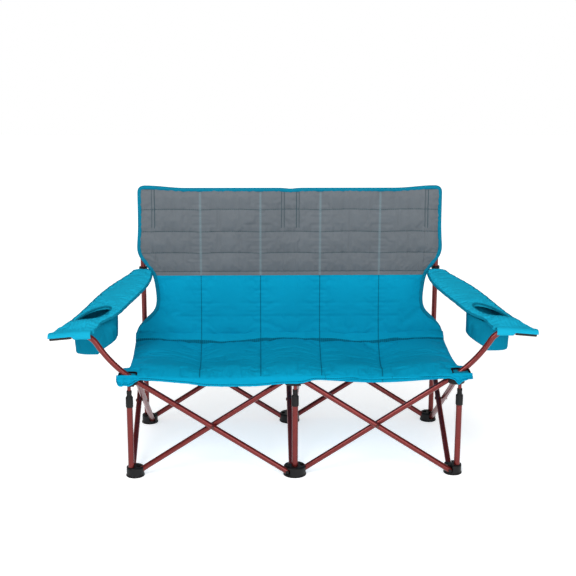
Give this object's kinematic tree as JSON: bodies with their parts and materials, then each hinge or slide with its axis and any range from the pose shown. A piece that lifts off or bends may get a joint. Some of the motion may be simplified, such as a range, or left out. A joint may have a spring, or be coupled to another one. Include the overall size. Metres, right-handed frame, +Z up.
{
  "type": "folding camping loveseat",
  "caption": "Folding camping loveseat: crossed tube legs, sliding posts, quilted seat and back, and padded armrests with cup pockets.",
  "frame": {"origin": "on the floor, under the axis of the front centre post", "axes": "+X to the sitter's left as seen from the front (right in the picture), +Y from front to back, +Z up"},
  "size_m": [1.3437, 0.515, 0.758],
  "materials": {
    "red_tube": "brick red metallic powder coat, satin",
    "black_plastic": "moulded black, low sheen",
    "rivet_steel": "plain steel",
    "blue_cloth": "woven polyester, matte",
    "grey_cloth": "woven polyester, matte"
  },
  "bodies": {
    "front_centre_post": {"front_foot_centre": "black_plastic", "front_post_centre": "red_tube", "front_collar_centre": "black_plastic"},
    "arm_left": {"arm_tube_left": "red_tube", "arm_tube_cap_left": "black_plastic", "front_cross_rivet_left": "rivet_steel"},
    "front_left_rising": {"front_cross_left_rising": "red_tube"},
    "front_left_post": {"front_foot_left": "black_plastic", "front_post_left": "red_tube", "front_collar_left": "black_plastic"},
    "front_left_slider": {"front_inner_tube_left": "red_tube", "front_hub_left": "black_plastic"},
    "front_centre_slider": {"front_inner_tube_centre": "red_tube", "front_hub_centre": "black_plastic", "seat_front_band": "blue_cloth"},
    "arm_right": {"arm_tube_right": "red_tube", "arm_tube_cap_right": "black_plastic", "front_cross_rivet_right": "rivet_steel"},
    "front_right_falling": {"front_cross_right_falling": "red_tube"},
    "front_right_post": {"front_foot_right": "black_plastic", "front_post_right": "red_tube", "front_collar_right": "black_plastic"},
    "front_right_slider": {"front_inner_tube_right": "red_tube", "front_hub_right": "black_plastic"},
    "left_climbing": {"side_cross_left_climbing": "red_tube", "side_cross_rivet_left": "rivet_steel"},
    "left_dropping": {"side_cross_left_dropping": "red_tube"},
    "rear_left_post": {"rear_foot_left": "black_plastic", "rear_post_left": "red_tube", "rear_post_cap_left": "black_plastic"},
    "rear_left_hub": {"rear_hub_left": "black_plastic"},
    "centre_climbing": {"side_cross_centre_climbing": "red_tube", "side_cross_rivet_centre": "rivet_steel"},
    "centre_dropping": {"side_cross_centre_dropping": "red_tube"},
    "rear_centre_post": {"rear_foot_centre": "black_plastic", "rear_post_centre": "red_tube", "rear_post_cap_centre": "black_plastic", "back_pad_upper": "grey_cloth", "back_pad_lower": "blue_cloth"},
    "rear_centre_hub": {"rear_hub_centre": "black_plastic"},
    "right_climbing": {"side_cross_right_climbing": "red_tube", "side_cross_rivet_right": "rivet_steel"},
    "right_dropping": {"side_cross_right_dropping": "red_tube"},
    "rear_right_post": {"rear_foot_right": "black_plastic", "rear_post_right": "red_tube", "rear_post_cap_right": "black_plastic"},
    "rear_right_hub": {"rear_hub_right": "black_plastic"},
    "rear_left_falling": {"rear_cross_left_falling": "red_tube", "rear_cross_rivet_left": "rivet_steel"},
    "rear_left_rising": {"rear_cross_left_rising": "red_tube"},
    "rear_right_rising": {"rear_cross_right_rising": "red_tube", "rear_cross_rivet_right": "rivet_steel"},
    "rear_right_falling": {"rear_cross_right_falling": "red_tube"},
    "seat_front_half": {"seat_pad_front": "blue_cloth"},
    "seat_rear_half": {"seat_pad_rear": "blue_cloth"},
    "armrest_left_pad": {"armrest_left": "blue_cloth", "cup_pocket_left": "blue_cloth"},
    "armrest_right_pad": {"armrest_right": "blue_cloth", "cup_pocket_right": "blue_cloth"}
  },
  "joints": [
    {"name": "fold", "type": "hinge", "parent": "front_centre_post", "child": "arm_left", "pos_m": [-0.022, -0.0085, 0.014], "axis": [0, 1, 0], "range_deg": [0, 50], "deforming": ["seat_pad_front", "seat_pad_rear", "seat_front_band", "back_pad_upper", "back_pad_lower", "armrest_left", "armrest_right", "cup_pocket_left", "cup_pocket_right"]},
    {"name": "front_left_cross", "type": "hinge", "parent": "arm_left", "child": "front_left_rising", "pos_m": [-0.23, 0, 0.148], "axis": [0, 1, 0], "range_deg": [-100, 0]},
    {"name": "front_left_foot", "type": "hinge", "parent": "front_left_rising", "child": "front_left_post", "pos_m": [-0.438, 0.0085, 0.014], "axis": [0, 1, 0], "range_deg": [0, 50]},
    {"name": "front_left_top", "type": "hinge", "parent": "arm_left", "child": "front_left_slider", "pos_m": [-0.438, -0.0085, 0.282], "axis": [0, 1, 0], "range_deg": [-50, 0]},
    {"name": "front_centre_top", "type": "hinge", "parent": "front_left_rising", "child": "front_centre_slider", "pos_m": [-0.022, 0.0085, 0.282], "axis": [0, 1, 0], "range_deg": [0, 50]},
    {"name": "front_right_arm", "type": "hinge", "parent": "front_centre_post", "child": "arm_right", "pos_m": [0.022, 0.0085, 0.014], "axis": [0, 1, 0], "range_deg": [-50, 0]},
    {"name": "front_right_cross", "type": "hinge", "parent": "arm_right", "child": "front_right_falling", "pos_m": [0.23, 0, 0.148], "axis": [0, 1, 0], "range_deg": [0, 100]},
    {"name": "front_right_foot", "type": "hinge", "parent": "front_right_falling", "child": "front_right_post", "pos_m": [0.438, -0.0085, 0.014], "axis": [0, 1, 0], "range_deg": [-50, 0]},
    {"name": "front_right_top", "type": "hinge", "parent": "arm_right", "child": "front_right_slider", "pos_m": [0.438, 0.0085, 0.282], "axis": [0, 1, 0], "range_deg": [0, 50]},
    {"name": "left_side_foot", "type": "hinge", "parent": "front_left_post", "child": "left_climbing", "pos_m": [-0.4585, 0.022, 0.014], "axis": [1, 0, 0], "range_deg": [0, 50]},
    {"name": "left_side_cross", "type": "hinge", "parent": "left_climbing", "child": "left_dropping", "pos_m": [-0.45, 0.23, 0.148], "axis": [1, 0, 0], "range_deg": [-100, 0]},
    {"name": "rear_left_foot", "type": "hinge", "parent": "left_dropping", "child": "rear_left_post", "pos_m": [-0.4415, 0.438, 0.014], "axis": [1, 0, 0], "range_deg": [0, 50]},
    {"name": "rear_left_top", "type": "hinge", "parent": "left_climbing", "child": "rear_left_hub", "pos_m": [-0.4585, 0.438, 0.282], "axis": [1, 0, 0], "range_deg": [-50, 0]},
    {"name": "centre_side_foot", "type": "hinge", "parent": "front_centre_post", "child": "centre_climbing", "pos_m": [-0.0085, 0.022, 0.014], "axis": [1, 0, 0], "range_deg": [0, 50]},
    {"name": "centre_side_cross", "type": "hinge", "parent": "centre_climbing", "child": "centre_dropping", "pos_m": [0, 0.23, 0.148], "axis": [1, 0, 0], "range_deg": [-100, 0]},
    {"name": "rear_centre_foot", "type": "hinge", "parent": "centre_dropping", "child": "rear_centre_post", "pos_m": [0.0085, 0.438, 0.014], "axis": [1, 0, 0], "range_deg": [0, 50]},
    {"name": "rear_centre_top", "type": "hinge", "parent": "centre_climbing", "child": "rear_centre_hub", "pos_m": [-0.0085, 0.438, 0.282], "axis": [1, 0, 0], "range_deg": [-50, 0]},
    {"name": "right_side_foot", "type": "hinge", "parent": "front_right_post", "child": "right_climbing", "pos_m": [0.4415, 0.022, 0.014], "axis": [1, 0, 0], "range_deg": [0, 50]},
    {"name": "right_side_cross", "type": "hinge", "parent": "right_climbing", "child": "right_dropping", "pos_m": [0.45, 0.23, 0.148], "axis": [1, 0, 0], "range_deg": [-100, 0]},
    {"name": "rear_right_foot", "type": "hinge", "parent": "right_dropping", "child": "rear_right_post", "pos_m": [0.4585, 0.438, 0.014], "axis": [1, 0, 0], "range_deg": [0, 50]},
    {"name": "rear_right_top", "type": "hinge", "parent": "right_climbing", "child": "rear_right_hub", "pos_m": [0.4415, 0.438, 0.282], "axis": [1, 0, 0], "range_deg": [-50, 0]},
    {"name": "rear_left_low", "type": "hinge", "parent": "rear_centre_post", "child": "rear_left_falling", "pos_m": [-0.022, 0.4515, 0.014], "axis": [0, 1, 0], "range_deg": [0, 50]},
    {"name": "rear_left_cross", "type": "hinge", "parent": "rear_left_falling", "child": "rear_left_rising", "pos_m": [-0.23, 0.46, 0.148], "axis": [0, 1, 0], "range_deg": [-100, 0]},
    {"name": "rear_right_low", "type": "hinge", "parent": "rear_centre_post", "child": "rear_right_rising", "pos_m": [0.022, 0.4685, 0.014], "axis": [0, 1, 0], "range_deg": [-50, 0]},
    {"name": "rear_right_cross", "type": "hinge", "parent": "rear_right_rising", "child": "rear_right_falling", "pos_m": [0.23, 0.46, 0.148], "axis": [0, 1, 0], "range_deg": [0, 100]},
    {"name": "seat_front_fold", "type": "hinge", "parent": "front_centre_slider", "child": "seat_front_half", "pos_m": [0, -0.0194, 0.294], "axis": [1, 0, 0], "range_deg": [0, 83]},
    {"name": "seat_middle_fold", "type": "hinge", "parent": "seat_front_half", "child": "seat_rear_half", "pos_m": [0, 0.21215, 0.299], "axis": [1, 0, 0], "range_deg": [-166, 0]},
    {"name": "armrest_left_fold", "type": "hinge", "parent": "arm_left", "child": "armrest_left_pad", "pos_m": [-0.65, -0.0085, 0.415], "axis": [0, 1, 0], "range_deg": [0, 60.3]},
    {"name": "armrest_right_fold", "type": "hinge", "parent": "arm_right", "child": "armrest_right_pad", "pos_m": [0.65, 0.0085, 0.415], "axis": [0, 1, 0], "range_deg": [-60.3, 0]}
  ],
  "couplings": [
    {"joint": "front_left_cross", "follows": "fold", "ratio": -2},
    {"joint": "front_left_foot", "follows": "fold", "ratio": 1},
    {"joint": "front_left_top", "follows": "fold", "ratio": -1},
    {"joint": "front_centre_top", "follows": "fold", "ratio": 1},
    {"joint": "front_right_arm", "follows": "fold", "ratio": -1},
    {"joint": "front_right_cross", "follows": "fold", "ratio": 2},
    {"joint": "front_right_foot", "follows": "fold", "ratio": -1},
    {"joint": "front_right_top", "follows": "fold", "ratio": 1},
    {"joint": "left_side_foot", "follows": "fold", "ratio": 1},
    {"joint": "left_side_cross", "follows": "fold", "ratio": -2},
    {"joint": "rear_left_foot", "follows": "fold", "ratio": 1},
    {"joint": "rear_left_top", "follows": "fold", "ratio": -1},
    {"joint": "centre_side_foot", "follows": "fold", "ratio": 1},
    {"joint": "centre_side_cross", "follows": "fold", "ratio": -2},
    {"joint": "rear_centre_foot", "follows": "fold", "ratio": 1},
    {"joint": "rear_centre_top", "follows": "fold", "ratio": -1},
    {"joint": "right_side_foot", "follows": "fold", "ratio": 1},
    {"joint": "right_side_cross", "follows": "fold", "ratio": -2},
    {"joint": "rear_right_foot", "follows": "fold", "ratio": 1},
    {"joint": "rear_right_top", "follows": "fold", "ratio": -1},
    {"joint": "rear_left_low", "follows": "fold", "ratio": 1},
    {"joint": "rear_left_cross", "follows": "fold", "ratio": -2},
    {"joint": "rear_right_low", "follows": "fold", "ratio": -1},
    {"joint": "rear_right_cross", "follows": "fold", "ratio": 2},
    {"joint": "seat_front_fold", "follows": "fold", "ratio": 1.66},
    {"joint": "seat_middle_fold", "follows": "fold", "ratio": -3.32},
    {"joint": "armrest_left_fold", "follows": "fold", "ratio": 1.206},
    {"joint": "armrest_right_fold", "follows": "fold", "ratio": -1.206}
  ]
}
